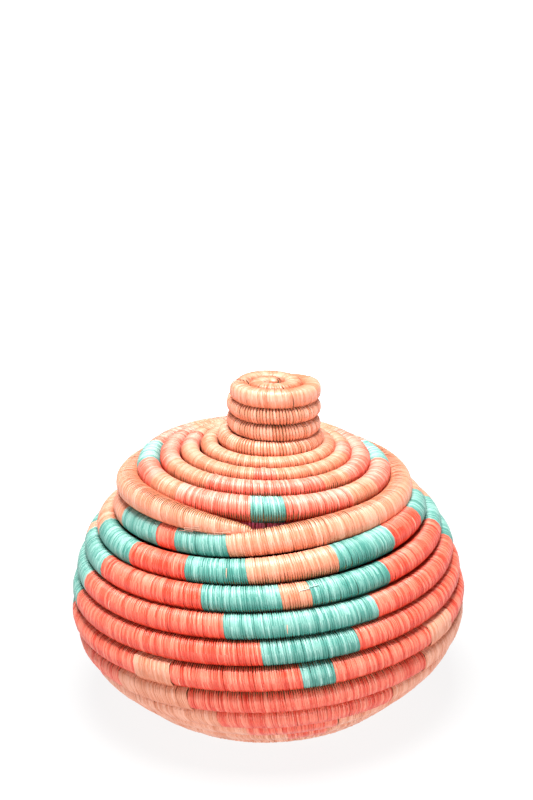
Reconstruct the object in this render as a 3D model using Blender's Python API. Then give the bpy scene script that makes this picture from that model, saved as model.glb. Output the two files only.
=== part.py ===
"""Round lidded basket of coiled grass.

Bundles of grass, wrapped all along in raffia, are wound into rows, and each row is sewn
to the one beside it. Three such coils make the basket: the body, the lid with its hollow
knob, and the ring under the lid that drops into the mouth. The rim's last turn, the lid
and the ring are modelled as an unbroken grass core inside the sleeves of its raffia
wrapping. The body's other rows are plain walls of the same outline, ridged row by row.

Metres, +Z up. The basket stands on z = 0 with its axis on Z, and its front faces -Y.
Turns run counterclockwise seen from above, and azimuth 0 is the front.
"""

import math

import bpy
import numpy as np
from mathutils import Euler

# The wrapped coil
BODY_COIL = 0.0101  # diameter of the body's coil, and of the lid's outermost row
LID_COIL = 0.0068  # diameter that the lid's coil thins towards, at the knob
LID_THINNING = 0.50  # share of the extra thickness that each lid row keeps of the next
RING_COIL = 0.0086
WRAPPING = 0.0009  # thickness of the raffia
CORE_GAP = 0.0003  # between the raffia and the grass
ROW_GAP = 0.0007  # between neighbouring rows of one coil
LID_ROW_GAP = 0.0008  # the same on the lid, whose rows drift to one side
TOP_GAP = 0.0013  # the same where the coil curls in over the knob's top
WRAP_GAP = 0.0003  # along a coil, between the end of one wrapping and the next
SEAT_GAP = 0.0003  # between coils that rest on each other
RING_SEAT = -0.0008  # the same for the ring, whose flats meet the lid's

# The body's wall, along the centre line of its coil
BASE_RADIUS = 0.0470  # of the flat base
HEEL_RADIUS = 0.0180  # of the bend from the base up to the flank
FLANK_LEAN = math.radians(-47)  # the straight flank faces this far below level
FLANK_LENGTH = 0.0180
BELLY_RADIUS = 0.0356  # of the bend over the widest row
SHOULDER_FOOT = math.radians(10)  # how far above level the belly faces where it ends
SHOULDER_RADIUS = 0.0680  # of the long bend in to the neck
SHOULDER_TOP = math.radians(44)
NECK_RADIUS = 0.0160  # of the bend back up to the rim, which is hollow
RIM_RISE = 0.0062  # of the upright end of the wall
BASE_CENTRE = 0.0034  # radius where the coil begins, in the middle of the base
FOOT_CUT = 0.1  # share of the coil's diameter pressed flat where it stands

# A coil begins thin, and its end thins out against the row that it is sewn to
THIN_START = 0.5  # share of its thickness that a coil begins with
START_TURNS = 0.8  # over which it grows to its full thickness
TAIL_SWEEP = math.radians(90)
TAIL_TIP = 0.0016  # radius left at the very end
RIM_END = math.radians(-4)  # azimuth where the body's coil ends

# The body's rows below its last turn, as plain ridged walls
HEEL_START = 0.0020  # along the wall from the flat base to where the heel's rows begin
FLANK_SHARE = 0.53  # share of the straight flank that belongs to the natural heel
BELLY_SHARE = 0.50  # share of the wall above its widest that belongs to the belly
GROOVE_DEPTH = 0.0024  # between two rows
RIDGE_FLAT = 0.0044  # width of the top of a row
INSIDE_DEPTH = 0.0043  # from the centre line to the smooth inside
STEP_GAP = 0.0006  # between the end of the wall's top row and the start of the last turn
SHELL_POINTS = 60  # round the wall

# Turns back from a coil's end to where the next wrapping begins
RIM_TURNS = 1.04  # the natural last turn
EDGE_TURNS = 2  # the coloured rows of the lid
CROWN_TURNS = 5  # the natural rows, up to the foot of the knob

# The lid, along the centre line of its coil from the edge in and up to the knob's top
LID_INSET = 0.0092  # from the rim's centre line in to the centre line of the lid's edge
EDGE_SLOPE = math.radians(34)  # at the lid's edge
CROWN = 0.0103  # along the bend from there to the slope of the lid
LID_SLOPE = math.radians(17.5)
LID_FLAT = 0.0162  # along the lid's even slope
FOOT_RADIUS = 0.0140  # of the bend from the lid up to the knob
KNOB_WALL = 0.0135  # height of the knob's upright part
KNOB_EDGE = 0.0010  # radius of the bend over its top
KNOB_CENTRE = 0.0036  # radius where the coil begins, on the knob's top
LID_EASE = 0.8  # how far the rows lie as rings and step to the next row at the back
LID_DRIFT = 0.0015  # the knob sits this far to the right of the lid's centre
KNOB_LEAN = 0.0016  # and its top this much further
LID_TILT = math.radians(4.0)  # the lid leans to its right, off the rim's rising end
LID_NOD = math.radians(0.7)  # and a little forwards
LID_SHIFT = -0.0010  # it lies a little to the left in the mouth

# The ring under the lid
RING_CLEARANCE = 0.0030  # between the ring and the rows of the mouth
RING_OPENING = math.radians(16)  # left between its two ends, at the back

# How finely the coils are drawn
LOOP_POINTS = 20
PATH_STEP = 0.0001  # between the points of the lid's path
COARSE_RADIUS = 0.040  # turns smaller than this have half as many points
SIDES = 6
BORE_SIDES = 4

BACK = math.pi

# Fibres, each wrapping in the colour that covers most of it
NATURAL = ("natural_raffia", (0.87, 0.50, 0.30, 1.0), 0.55)
CORAL = ("coral_raffia", (0.88, 0.16, 0.10, 1.0), 0.50)
PINK = ("pink_raffia", (0.80, 0.03, 0.13, 1.0), 0.50)
GRASS = ("dry_grass", (0.33, 0.25, 0.10, 1.0), 0.85)


def material(recipe):
    """The material of one fibre: its name, colour and roughness."""
    name, colour, roughness = recipe
    found = bpy.data.materials.get(name)
    if found:
        return found
    made = bpy.data.materials.new(name)
    made.use_nodes = True
    made.diffuse_color = colour
    shader = made.node_tree.nodes["Principled BSDF"]
    shader.inputs["Base Color"].default_value = colour
    shader.inputs["Roughness"].default_value = roughness
    shader.inputs["Metallic"].default_value = 0.0
    return made


class Coil:
    """The centre line of a coil: at each point its place, its radius and the way its wall faces."""

    def __init__(self, azimuths, places, radii, facing):
        self.azimuths = np.array(azimuths)
        self.places = np.array(places)
        self.radii = np.array(radii)
        self.facing = np.array(facing)

    def least_gap(self):
        """The least clear distance between this coil's own turns, over its points."""
        apart = np.linalg.norm(self.places[:, None] - self.places[None, :], axis=2)
        apart -= self.radii[:, None] + self.radii[None, :]
        turned = abs(self.azimuths[:, None] - self.azimuths[None, :])
        return apart[turned > math.pi].min()


def around(azimuth, radius, height):
    """The point at this azimuth, which is 0 at the front and grows to the right."""
    return np.array([radius * math.sin(azimuth), -radius * math.cos(azimuth), height])


def azimuth_steps(radius_at, start, end):
    """Azimuths back from end to start, in steps that match from turn to turn."""
    step = 2 * math.pi / LOOP_POINTS
    found = []
    steps = 0
    while end - steps * step > start:
        found.append(end - steps * step)
        coarse = radius_at(found[-1]) < COARSE_RADIUS and steps % 2 == 0
        steps += 2 if coarse else 1
    return found[::-1]


def started(azimuth):
    """The share of its thickness that a coil has, this far on from its beginning."""
    grown = azimuth / (2 * math.pi * START_TURNS)
    return min(1.0, THIN_START + (1 - THIN_START) * grown)


def tail_radius(left, full):
    """The radius of a coil at this share of its tail, from 1 where it begins to 0 at the tip."""
    return max(TAIL_TIP, full * math.sqrt(max(0.0, 1 - (1 - left) ** 2)))


def laid_against(place, neighbour, neighbour_radius, radius):
    """A thinner coil's place, drawn in from a full coil's place until it lies by its neighbour."""
    way = place - neighbour
    return neighbour + way / np.linalg.norm(way) * (neighbour_radius + ROW_GAP + radius)


# The body


def wall_pieces():
    """The wall from the base up: the length of each piece, and which way it faces at its ends."""
    down = -math.pi / 2
    return (
        (BASE_RADIUS, down, down),
        (HEEL_RADIUS * (FLANK_LEAN - down), down, FLANK_LEAN),
        (FLANK_LENGTH, FLANK_LEAN, FLANK_LEAN),
        (BELLY_RADIUS * (SHOULDER_FOOT - FLANK_LEAN), FLANK_LEAN, SHOULDER_FOOT),
        (SHOULDER_RADIUS * (SHOULDER_TOP - SHOULDER_FOOT), SHOULDER_FOOT, SHOULDER_TOP),
        (NECK_RADIUS * SHOULDER_TOP, SHOULDER_TOP, 0.0),
        (RIM_RISE, 0.0, 0.0),
    )


def wall(along):
    """The body's wall, this far along it from the axis: radius, height and facing."""
    radius = 0.0
    height = BODY_COIL * (0.5 - FOOT_CUT)
    for length, low, high in wall_pieces():
        part = min(along, length)
        turn = low + (high - low) * part / length
        middle = (low + turn) / 2
        half = (turn - low) / 2
        chord = part * (math.sin(half) / half if half else 1.0)
        radius -= chord * math.sin(middle)
        height += chord * math.cos(middle)
        along -= part
        if along <= 0:
            break
    return radius, height, turn


def wall_foot():
    """Along the wall, where the coloured rows meet the natural heel."""
    heel = HEEL_RADIUS * (math.pi / 2 + FLANK_LEAN)
    return BASE_RADIUS + heel + FLANK_SHARE * FLANK_LENGTH


def wall_waist():
    """Along the wall, at its widest."""
    return wall_foot() + (1 - FLANK_SHARE) * FLANK_LENGTH - BELLY_RADIUS * FLANK_LEAN


def wall_shoulder():
    """Along the wall, where the belly's rows meet the shoulder's."""
    return wall_waist() + BELLY_SHARE * (wall_length() - BODY_COIL - ROW_GAP - wall_waist())


def wall_length():
    """From the axis to the end of the wall."""
    return sum(length for length, _, _ in wall_pieces())


def body_coil():
    """One coil from the middle of the base to the end of the rim, a row's pitch each turn."""
    pitch = BODY_COIL + ROW_GAP
    length = wall_length()

    def along(azimuth):
        return length + pitch * (azimuth - RIM_END) / (2 * math.pi)

    start = RIM_END - 2 * math.pi * (length - BASE_CENTRE) / pitch

    def place(azimuth):
        radius, height, turn = wall(along(azimuth))
        way = around(azimuth, math.cos(turn), math.sin(turn))
        return around(azimuth, radius, height), started(azimuth - start) * BODY_COIL / 2, way

    azimuths = azimuth_steps(lambda azimuth: wall(along(azimuth))[0], start, RIM_END)
    return tailed_coil(azimuths, place)


def mouth_radius():
    """The rim's centre line."""
    return wall(wall_length())[0]


def tailed_coil(azimuths, place):
    """A coil along these places, whose last end thins out against the row before."""
    places, radii, facing = [], [], []
    for azimuth in azimuths:
        here, radius, way = place(azimuth)
        left = (azimuths[-1] - azimuth) / TAIL_SWEEP
        if left < 1:
            radius = tail_radius(left, radius)
            neighbour, neighbour_radius, _ = place(azimuth - 2 * math.pi)
            here = laid_against(here, neighbour, neighbour_radius, radius)
        places.append(here)
        radii.append(radius)
        facing.append(way)
    return Coil(azimuths, places, radii, facing)


# The lid


def lid_path():
    """Close points along the lid from its edge to the knob's top: radius, height, facing."""
    foot_bend = math.pi / 2 - LID_SLOPE
    pieces = (
        (lid_pitch(1) / 2, EDGE_SLOPE, EDGE_SLOPE),
        (CROWN, EDGE_SLOPE, LID_SLOPE),
        (LID_FLAT, LID_SLOPE, LID_SLOPE),
        (FOOT_RADIUS * foot_bend, LID_SLOPE, math.pi / 2),
        (KNOB_WALL, math.pi / 2, math.pi / 2),
        (KNOB_EDGE * math.pi / 2, math.pi / 2, 0.0),
        (mouth_radius(), 0.0, 0.0),
    )
    slopes = [np.linspace(low, high, round(length / PATH_STEP)) for length, low, high in pieces]
    edge = len(slopes[0])
    knob = sum(len(slope) for slope in slopes[:4])
    slopes = np.concatenate(slopes)
    inwards = np.cumsum(np.cos(slopes)) * PATH_STEP
    height = np.cumsum(np.sin(slopes)) * PATH_STEP
    radius = mouth_radius() - LID_INSET - (inwards - inwards[edge])
    facing = np.where(np.arange(len(slopes)) < knob, math.pi / 2 - slopes, 0.0)
    share = np.minimum(np.arange(len(slopes)) / knob, 1.0)
    lean = np.clip((height - height[knob]) / KNOB_WALL, 0.0, 1.0)
    return radius, height - height[edge], facing, LID_DRIFT * share + KNOB_LEAN * lean


def lid_thickness(turns):
    """Diameter of the lid's coil this many turns in from its end."""
    return LID_COIL + (BODY_COIL - LID_COIL) * LID_THINNING ** max(0.0, turns - 0.5)


def lid_pitch(turns):
    """From the centre of a row, this many turns in from the end, to the one outside it."""
    return (lid_thickness(turns) + lid_thickness(turns - 1)) / 2 + LID_ROW_GAP


def lid_coil():
    """One coil from the knob's top down and out to the lid's edge, where it thins out.

    It is laid out from the edge inwards: past its first turn, each place is found by laying
    the coil against the row outside it.
    """
    radius, height, facing, drift = lid_path()
    step = 2 * math.pi / LOOP_POINTS
    top = int(np.argmax(height))
    spots = []
    while True:
        turns = len(spots) / LOOP_POINTS
        if turns < 1:
            along = turns + LID_EASE * math.sin(2 * math.pi * turns) / (2 * math.pi)
            spots.append(round(along * lid_pitch(1) / PATH_STEP))
            continue
        outside = spots[-LOOP_POINTS]
        apart = np.hypot(radius - radius[outside], height - height[outside])
        needed = lid_pitch(turns) + (TOP_GAP - LID_ROW_GAP if spots[-1] > top else 0.0)
        spot = outside + int(np.argmax(apart[outside:] >= needed))
        if radius[spot] < KNOB_CENTRE:
            break
        spots.append(spot)

    def place(azimuth):
        turns = (BACK - azimuth) / (2 * math.pi)
        spot = spots[min(round(turns * LOOP_POINTS), len(spots) - 1)]
        here = around(azimuth, radius[spot], height[spot])
        here[0] += drift[spot]
        way = around(azimuth, math.cos(facing[spot]), math.sin(facing[spot]))
        share = started(azimuth - BACK + len(spots) * step)
        return here, share * lid_thickness(turns) / 2, way

    def size(azimuth):
        return float(np.hypot(*place(azimuth)[0][:2]))

    start = BACK - (len(spots) - 0.5) * step
    return tailed_coil(azimuth_steps(size, start, BACK), place)


# The ring under the lid


def ring_coil():
    """A single turn, open by a little at the back."""
    radius = mouth_radius() - BODY_COIL / 2 - RING_CLEARANCE - RING_COIL / 2
    reach = BACK - RING_OPENING / 2
    azimuths = np.linspace(-reach, reach, LOOP_POINTS)
    places = [around(azimuth, radius, 0.0) for azimuth in azimuths]
    facing = [around(azimuth, 1.0, 0.0) for azimuth in azimuths]
    return Coil(azimuths, places, np.full(len(azimuths), RING_COIL / 2), facing)


# How the coils seat on each other


def fine(coil):
    """Places and radii close together along the straight pieces between a coil's points."""
    steps = np.linspace(0, len(coil.places) - 1, 8 * len(coil.places))
    known = np.arange(len(coil.places))
    places = [np.interp(steps, known, coil.places[:, axis]) for axis in range(3)]
    return np.stack(places, axis=1), np.interp(steps, known, coil.radii)


def drop_onto(upper, lower, gap):
    """How far the upper coil rises from where it is until it rests this far off the lower."""
    upper_places, upper_radii = fine(upper)
    lower_places, lower_radii = fine(lower)
    apart = upper_places[:, None, :] - lower_places[None, :, :]
    reach = upper_radii[:, None] + lower_radii[None, :] + gap
    level = np.hypot(apart[:, :, 0], apart[:, :, 1])
    near = level < reach
    rise = np.sqrt(np.maximum(reach**2 - level**2, 0.0)) - apart[:, :, 2]
    return rise[near].max()


def moved(coil, offset):
    return Coil(coil.azimuths, coil.places + np.array(offset), coil.radii, coil.facing)


def leant(coil):
    """The coil as the lid lies, leaning about its centre."""
    lean = np.array(Euler((LID_NOD, LID_TILT, 0.0)).to_matrix())
    places = coil.places @ lean.T + np.array((LID_SHIFT, 0.0, 0.0))
    return Coil(coil.azimuths, places, coil.radii, coil.facing @ lean.T)


def flipped(coil):
    """The coil upside down, so that a rise is worked out from below."""
    return Coil(coil.azimuths, coil.places * (1, 1, -1), coil.radii, coil.facing)


# Solids


def rings(coil, radii, sides, turn):
    """The corners of each cross-section, square to the coil, with one side facing outwards."""
    along = np.gradient(coil.places, axis=0)
    along /= np.linalg.norm(along, axis=1)[:, None]
    out = coil.facing - along * np.sum(coil.facing * along, axis=1)[:, None]
    out /= np.linalg.norm(out, axis=1)[:, None]
    across = np.cross(along, out)
    angles = turn + np.arange(sides) * 2 * math.pi / sides
    corners = (
        across[:, None, :] * np.cos(angles)[None, :, None]
        + out[:, None, :] * np.sin(angles)[None, :, None]
    )
    return coil.places[:, None, :] + corners * radii[:, None, None]


def skin(first, count, sides, inward):
    """The triangles of a tube's side, whose rings of points follow each other from first.

    They are split the same way in a bore and in the core inside it, so the two stay apart.
    """
    faces = []
    for ring in range(count - 1):
        for side in range(sides):
            after = (side + 1) % sides
            here = first + ring * sides
            ahead = here + sides
            for face in (
                (here + side, here + after, ahead + after),
                (here + side, ahead + after, ahead + side),
            ):
                faces.append(face if inward else face[::-1])
    return faces


def end_band(outer, inner, reverse):
    """The triangles between the corners of an end's outer edge and those of its bore."""
    faces = []
    i = j = 0
    while i < len(outer) or j < len(inner):
        out_share = (i + 0.5) / len(outer)
        in_share = (j + 0.5) / len(inner)
        if j == len(inner) or (i < len(outer) and out_share <= in_share):
            face = (outer[i], outer[(i + 1) % len(outer)], inner[j % len(inner)])
            i += 1
        else:
            face = (outer[i % len(outer)], inner[(j + 1) % len(inner)], inner[j])
            j += 1
        faces.append(face[::-1] if reverse else face)
    return faces


def add_solid(name, corners, faces, recipe, parent=None):
    mesh = bpy.data.meshes.new(name)
    mesh.from_pydata([tuple(corner) for corner in corners], [], faces)
    mesh.update()
    mesh.shade_smooth()
    mesh.set_sharp_from_angle(angle=math.radians(50))
    mesh.materials.append(material(recipe))
    made = bpy.data.objects.new(name, mesh)
    bpy.context.scene.collection.objects.link(made)
    made.parent = parent
    return made


def shell_point(azimuth, along, out):
    """A point this far along the body's wall, and this far out from its middle."""
    radius, height, turn = wall(along)
    radius += out * math.cos(turn)
    return around(azimuth, radius, max(0.0, height + out * math.sin(turn)))


def row_lines(top, foot):
    """The lines of the ridges from the top down to the foot: how far along, and how far out."""
    pitch = BODY_COIL + ROW_GAP
    crest = BODY_COIL / 2
    groove = crest - GROOVE_DEPTH
    found = []
    row = 0
    while True:
        middle = top - pitch * (row + 0.5)
        for along, out in (
            (middle + pitch / 2, groove),
            (middle + RIDGE_FLAT / 2, crest),
            (middle - RIDGE_FLAT / 2, crest),
        ):
            if along < foot + GROOVE_DEPTH / 2:
                return found + [(foot, groove)]
            found.append((along, out))
        row += 1


def inside_lines(top, foot):
    """The same for the smooth inside, with one line for each row."""
    count = int((top - foot - GROOVE_DEPTH) / (BODY_COIL + ROW_GAP))
    lines = [top - row * (BODY_COIL + ROW_GAP) for row in range(count + 1)]
    return [(along, -INSIDE_DEPTH) for along in lines] + [(foot, -INSIDE_DEPTH)]


def zipped(left, right, inward):
    """The faces between two upright columns of corners, which share their first lines."""
    faces = []
    common = min(len(left), len(right)) - 1
    for line in range(common - 1):
        faces.append((left[line], left[line + 1], right[line + 1], right[line]))
    faces.append(tuple(left[common - 1 :] + right[common - 1 :][::-1]))
    return [face[::-1] for face in faces] if inward else faces


def plain_wall(name, end, foot, recipe):
    """The wall from its foot up to the last turn, whose coil climbs along the wall's top edge."""
    pitch = BODY_COIL + ROW_GAP
    step = 2 * math.pi / SHELL_POINTS
    end -= STEP_GAP / mouth_radius()
    corners, outside, inside = [], [], []
    for column in range(SHELL_POINTS + 1):
        azimuth = end + (column - SHELL_POINTS) * step
        top = wall_length() + pitch * (azimuth - RIM_END) / (2 * math.pi) + pitch / 2
        for lines, columns, rows in (
            (row_lines(top, foot), outside, 3),
            (inside_lines(top, foot), inside, 1),
        ):
            fresh = lines[:rows] if column == SHELL_POINTS else lines
            ids = list(range(len(corners), len(corners) + len(fresh)))
            corners += [shell_point(azimuth, *line) for line in fresh]
            columns.append(ids + (columns[0] if column == SHELL_POINTS else []))
    faces = []
    for left in range(SHELL_POINTS):
        faces += zipped(outside[left], outside[left + 1], inward=False)
        faces += zipped(inside[left], inside[left + 1], inward=True)
        for line, inward in ((0, False), (-1, True)):
            ledge = (
                outside[left][line],
                outside[left + 1][line],
                inside[left + 1][line],
                inside[left][line],
            )
            faces.append(ledge[::-1] if inward else ledge)
    faces.append(tuple(outside[-1][:4] + inside[-1][:2][::-1]))
    return add_solid(name, corners, faces, recipe)


def turned(name, top, foot, recipe):
    """A level band of the wall, or the whole base where its foot is the middle of the base."""
    outside = row_lines(top - WRAP_GAP, foot)
    inside = inside_lines(top - WRAP_GAP, foot)
    closed = foot == 0.0
    if closed:
        outside.pop()
        inside.pop()
    lines = outside + inside[::-1]
    corners = [
        shell_point(column * 2 * math.pi / SHELL_POINTS, *line)
        for line in lines
        for column in range(SHELL_POINTS)
    ]
    faces = []
    for ring in range(len(lines)):
        if closed and ring == len(outside) - 1:
            continue
        here = ring * SHELL_POINTS
        ahead = (ring + 1) % len(lines) * SHELL_POINTS
        for column in range(SHELL_POINTS):
            after = (column + 1) % SHELL_POINTS
            faces.append((here + column, ahead + column, ahead + after, here + after))
    if closed:
        for ring, line in ((len(outside) - 1, outside[-1]), (len(outside), inside[-1])):
            corners.append(shell_point(0.0, 0.0, line[1]))
            for column in range(SHELL_POINTS):
                after = (column + 1) % SHELL_POINTS
                here = ring * SHELL_POINTS
                face = (here + column, len(corners) - 1, here + after)
                faces.append(face if ring < len(outside) else face[::-1])
    return add_solid(name, corners, faces, recipe)


def wrapped_part(corners, first, last, share):
    """The rings from first to last. A later wrapping starts just past the end of the one before."""
    part = corners[first : last + 1].copy()
    if first:
        part[0] += (part[1] - part[0]) * share
    return part


def add_sleeve(name, coil, part, recipe, parent=None):
    """The raffia wrapping of this part of a coil: a tube that is open at both ends."""
    first, last = part
    length = np.linalg.norm(coil.places[first + 1] - coil.places[first])
    outer = rings(coil, coil.radii, SIDES, 0.0)
    inner = rings(coil, coil.radii - WRAPPING, BORE_SIDES, math.pi / BORE_SIDES)
    outer = wrapped_part(outer, first, last, WRAP_GAP / length)
    inner = wrapped_part(inner, first, last, WRAP_GAP / length)
    count = last + 1 - first
    corners = np.concatenate([outer.reshape(-1, 3), inner.reshape(-1, 3)])
    bore = count * SIDES
    faces = skin(0, count, SIDES, inward=False)
    faces += skin(bore, count, BORE_SIDES, inward=True)
    faces += end_band(range(SIDES), range(bore, bore + BORE_SIDES), reverse=False)
    last_ring = range((count - 1) * SIDES, count * SIDES)
    last_bore = range(bore + (count - 1) * BORE_SIDES, bore + count * BORE_SIDES)
    faces += end_band(last_ring, last_bore, reverse=True)
    return add_solid(name, corners, faces, recipe, parent)


def add_core(name, coil, first=0, parent=None):
    """The bundle of grass inside a coil's wrapping, from this point of the coil on."""
    radii = coil.radii - WRAPPING - CORE_GAP * math.sqrt(2)
    corners = rings(coil, radii, BORE_SIDES, math.pi / BORE_SIDES)
    corners = wrapped_part(corners, first, len(corners) - 1, CORE_GAP / BODY_COIL)
    corners = corners.reshape(-1, 3)
    count = len(coil.places) - first
    faces = skin(0, count, BORE_SIDES, inward=False)
    faces.append(tuple(range(BORE_SIDES)))
    faces.append(tuple(range(count * BORE_SIDES - 1, (count - 1) * BORE_SIDES - 1, -1)))
    return add_solid(name, corners, faces, GRASS, parent)


def print_gap(name, coil):
    print(f"{name}: least gap between its turns {coil.least_gap() * 1000:.2f} mm")


def back_by(coil, turns):
    """The coil's point this many turns back from its end."""
    return int(np.argmin(abs(coil.azimuths - coil.azimuths[-1] + 2 * math.pi * turns)))


def main():
    for old in list(bpy.data.objects):
        bpy.data.objects.remove(old, do_unlink=True)

    body = body_coil()
    print_gap("body", body)
    rim = back_by(body, RIM_TURNS)
    whole = (rim, len(body.places) - 1)
    add_core("body_rim_grass_core", body, rim)
    add_sleeve("body_rim_raffia_wrap", body, whole, NATURAL)
    heel = BASE_RADIUS + HEEL_START
    plain_wall("body_wall_raffia_wrap", body.azimuths[rim], wall_shoulder(), CORAL)
    turned("body_belly_raffia_wrap", wall_shoulder(), wall_waist(), CORAL)
    turned("body_flank_raffia_wrap", wall_waist(), wall_foot(), CORAL)
    turned("body_heel_raffia_wrap", wall_foot(), heel, NATURAL)
    turned("body_base_raffia_wrap", heel, 0.0, NATURAL)

    lid = lid_coil()
    print_gap("lid", lid)
    seat = drop_onto(leant(lid), body, SEAT_GAP)
    ring = ring_coil()
    ring = moved(ring, (0.0, 0.0, -drop_onto(flipped(ring), flipped(lid), RING_SEAT)))

    lift = bpy.data.objects.new("lid_lift", None)
    lift.location = (LID_SHIFT, 0.0, seat)
    lift.rotation_euler = (LID_NOD, LID_TILT, 0.0)
    bpy.context.scene.collection.objects.link(lift)
    edge = back_by(lid, EDGE_TURNS)
    crown = back_by(lid, CROWN_TURNS)
    add_core("lid_grass_core", lid, parent=lift)
    add_sleeve("lid_edge_raffia_wrap", lid, (edge, len(lid.places) - 1), CORAL, lift)
    add_sleeve("lid_crown_raffia_wrap", lid, (crown, edge), NATURAL, lift)
    add_sleeve("lid_knob_raffia_wrap", lid, (0, crown), NATURAL, lift)
    add_core("lid_ring_grass_core", ring, parent=lift)
    add_sleeve("lid_ring_raffia_wrap", ring, (0, len(ring.places) - 1), PINK, lift)
    print(f"the lid's edge row is centred {seat * 1000:.1f} mm up")
    print(f"the mouth's centre line is {mouth_radius() * 1000:.1f} mm from the axis")


main()
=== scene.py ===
"""Round lidded basket of coiled grass, each coil wrapped in dyed and natural raffia."""

import math

import bmesh
import bpy
import numpy as np
from mathutils import Euler, Matrix, Vector


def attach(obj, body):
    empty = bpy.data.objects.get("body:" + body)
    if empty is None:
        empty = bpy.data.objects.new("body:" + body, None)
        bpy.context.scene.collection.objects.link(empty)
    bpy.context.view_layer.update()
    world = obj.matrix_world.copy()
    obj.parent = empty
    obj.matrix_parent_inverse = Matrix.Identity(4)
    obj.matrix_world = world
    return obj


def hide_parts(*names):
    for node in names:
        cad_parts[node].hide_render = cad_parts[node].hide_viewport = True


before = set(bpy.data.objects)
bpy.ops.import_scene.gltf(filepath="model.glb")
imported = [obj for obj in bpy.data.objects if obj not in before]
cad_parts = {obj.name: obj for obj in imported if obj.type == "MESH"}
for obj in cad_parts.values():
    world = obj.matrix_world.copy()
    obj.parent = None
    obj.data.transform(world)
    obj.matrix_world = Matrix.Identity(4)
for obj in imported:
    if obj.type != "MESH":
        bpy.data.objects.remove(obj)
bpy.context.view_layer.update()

# The body's coil: one long bundle of grass laid round and round, from the middle of the base
# to the rim, where its last turn thins out against the row below. This section gives the
# line that it follows, and the dark grass bundle that shows between the strands round it.

ONE_TURN = 2 * math.pi
POINTS_PER_TURN = 120
BODY_POINTS = 16 * POINTS_PER_TURN  # the coil makes just under 16 turns
BODY_PITCH = 0.0108  # from one row to the next, measured along the wall
BODY_RADIUS = 0.00505
BODY_SWELL = 0.00050  # how far the raffia stands out where it meets the next row
RIM_END = math.radians(-4)  # azimuth of the coil's tip
BASE_CENTRE = 0.0022  # radius where the coil begins
BASE_HEIGHT = 0.00404  # of the line that it follows there
TAIL = math.radians(90)  # the stretch over which a coil's end thins
TAIL_TIP = 0.0006  # its radius at the tip
TAIL_CURVE = 2.4  # the higher, the longer the tail stays full
BODY_WALL = (
    # length, and which way the wall faces at each end of it, from the base up
    (0.0470, -90, -90),
    (0.0180 * math.radians(43), -90, -47),
    (0.0180, -47, -47),
    (0.0356 * math.radians(57), -47, 10),
    (0.0680 * math.radians(34), 10, 44),
    (0.0160 * math.radians(44), 44, 0),
    (0.0062, 0, 0),
)
WALL_LENGTH = sum(length for length, _, _ in BODY_WALL)
BODY_START = RIM_END - ONE_TURN * (WALL_LENGTH - BASE_CENTRE) / BODY_PITCH


def wall(along):
    """Radius, height and facing of the body's wall, this far along it from the axis."""
    radius, height, turn = 0.0, BASE_HEIGHT, 0.0
    for length, low, high in BODY_WALL:
        part = min(along, length)
        low, high = math.radians(low), math.radians(high)
        turn = low + (high - low) * part / length
        half = (turn - low) / 2
        chord = part * (math.sin(half) / half if half else 1.0)
        radius -= chord * math.sin((low + turn) / 2)
        height += chord * math.cos((low + turn) / 2)
        along -= part
        if along <= 0:
            break
    return radius, height, turn


def around(azimuth, radius, height):
    """A point at this azimuth, 0 at the front and growing to the right."""
    return np.array([radius * math.sin(azimuth), -radius * math.cos(azimuth), height])


def face_of(azimuth):
    """The side of the basket that this azimuth faces, in degrees from the front."""
    return (math.degrees(azimuth) + 180) % 360 - 180


def bump(place, low, high):
    """A smooth swell from 0 at both ends of this stretch to 1 in its middle."""
    share = (place - low) / (high - low)
    return math.sin(math.pi * share) ** 2 if 0 < share < 1 else 0.0


# The rows on the belly stand out a little, by turns of the coil counted down from the rim
BELLY_TURNS = (0.9, 2.1, 3.6, 4.6, 7.0, 8.2)
BELLY_SHARES = (0, 1, 1, 0.5, 0.5, 0)
BELLY_OUT = 0.0017
BELLY_UP = 0.0004
FRONT_RIGHT = (-28, 116)  # the side of the mouth that rises, in degrees from the front
HIGH_ROWS = (
    # how much the rows rise, on which side, and how this comes and goes by turns down
    (0.0038, FRONT_RIGHT, (0.6, 1.03, 3.2), (0, 1, 0)),
    (0.0022, (-108, -8), (0, 2), (1, 0)),
    (0.0009, (-55, 70), (0.7, 0.9, 1.8), (0, 1, 0)),
)


def body_place(azimuth):
    """Where the body's coil lies at this azimuth, and which way the wall faces there."""
    along = WALL_LENGTH + BODY_PITCH * (azimuth - RIM_END) / ONE_TURN
    radius, height, turn = wall(max(along, BASE_CENTRE))
    turns_down = (RIM_END - azimuth) / ONE_TURN
    belly = np.interp(turns_down, BELLY_TURNS, BELLY_SHARES)
    radius += BELLY_OUT * belly
    height += BELLY_UP * belly
    for rise, side, turns, shares in HIGH_ROWS:
        height += rise * bump(face_of(azimuth), *side) * np.interp(turns_down, turns, shares)
    return around(azimuth, radius, height), around(azimuth, math.cos(turn), math.sin(turn))


STARTING_TURNS = 0.8  # a coil begins slim and is full after this much of a turn
BODY_START_SHARE = 0.5  # of the full thickness
RIM_FULLER = 0.0003  # the last turns are thicker than the rest
RIM_TURNS = 1.3
RISE_FULLER = 0.0007  # and more so where the mouth rises, on these turns
RISE_TURNS = (0.6, 1, 2, 2.6)


def body_thickness(azimuth):
    """Radius of the body's coil here."""
    grown_by = (azimuth - BODY_START) / (ONE_TURN * STARTING_TURNS)
    turns_down = (RIM_END - azimuth) / ONE_TURN
    fuller = RIM_FULLER * max(0.0, 1 - turns_down / RIM_TURNS)
    rise = bump(face_of(azimuth), *FRONT_RIGHT)
    fuller += RISE_FULLER * rise * np.interp(turns_down, RISE_TURNS, (0, 1, 1, 0))
    begun = min(1.0, BODY_START_SHARE + (1 - BODY_START_SHARE) * grown_by)
    return (BODY_RADIUS + BODY_SWELL) * begun + fuller


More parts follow.
